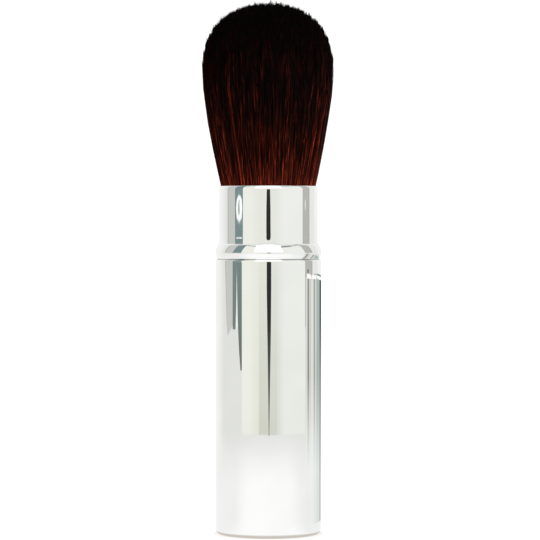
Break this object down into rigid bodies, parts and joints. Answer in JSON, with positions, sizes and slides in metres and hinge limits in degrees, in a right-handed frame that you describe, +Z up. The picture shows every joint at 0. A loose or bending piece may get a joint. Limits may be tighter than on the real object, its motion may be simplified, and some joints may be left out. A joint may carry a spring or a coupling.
{
  "type": "retractable makeup brush",
  "caption": "Round powder brush in a bright metal twist case. Turning the beaded sleeve one and a half turns draws the brush down into the barrel on two spiral grooves.",
  "frame": {"origin": "centre of the barrel's flat base, on the brush's centre line", "axes": "+Z up along the centre line toward the hair, -Y toward the viewer of the picture, +X to that viewer's right"},
  "size_m": [0.0275, 0.0275, 0.1118],
  "materials": {
    "polished_aluminium": "mirror polished and lacquered",
    "satin_aluminium": "satin, as drawn",
    "steel": "zinc plated",
    "spring_steel": "bright spring wire",
    "black_plastic": "as moulded",
    "nylon": "natural nylon, as moulded",
    "rubber": "matt",
    "foam": "foam with adhesive on both faces",
    "glue": "cast resin",
    "hair": "soft dyed hair, black at the tips and auburn at the root"
  },
  "bodies": {
    "base": {"barrel": "polished_aluminium", "adhesive_pad": "foam", "ballast": "steel", "spiral_tube": "black_plastic", "damper_ring": "rubber", "thrust_washer": "nylon"},
    "twist_sleeve": {"guide_tube": "nylon", "snap_ring": "spring_steel", "sleeve": "polished_aluminium", "mouth_liner": "black_plastic"},
    "brush": {"carrier": "nylon", "ferrule": "satin_aluminium", "glue_plug": "glue", "bristles_inner": "hair", "bristles_outer": "hair"}
  },
  "joints": [
    {"name": "sleeve_twist", "type": "hinge", "parent": "base", "child": "twist_sleeve", "pos_m": [0, 0, 0], "axis": [0, 0, 1], "range_deg": [0, 540]},
    {"name": "brush_travel", "type": "slide", "parent": "twist_sleeve", "child": "brush", "axis": [0, 0, -1], "range_m": [0, 0.039], "deforming": ["bristles_outer"]}
  ],
  "couplings": [
    {"joint": "sleeve_twist", "follows": "brush_travel", "rad_per_m": 241.66}
  ]
}
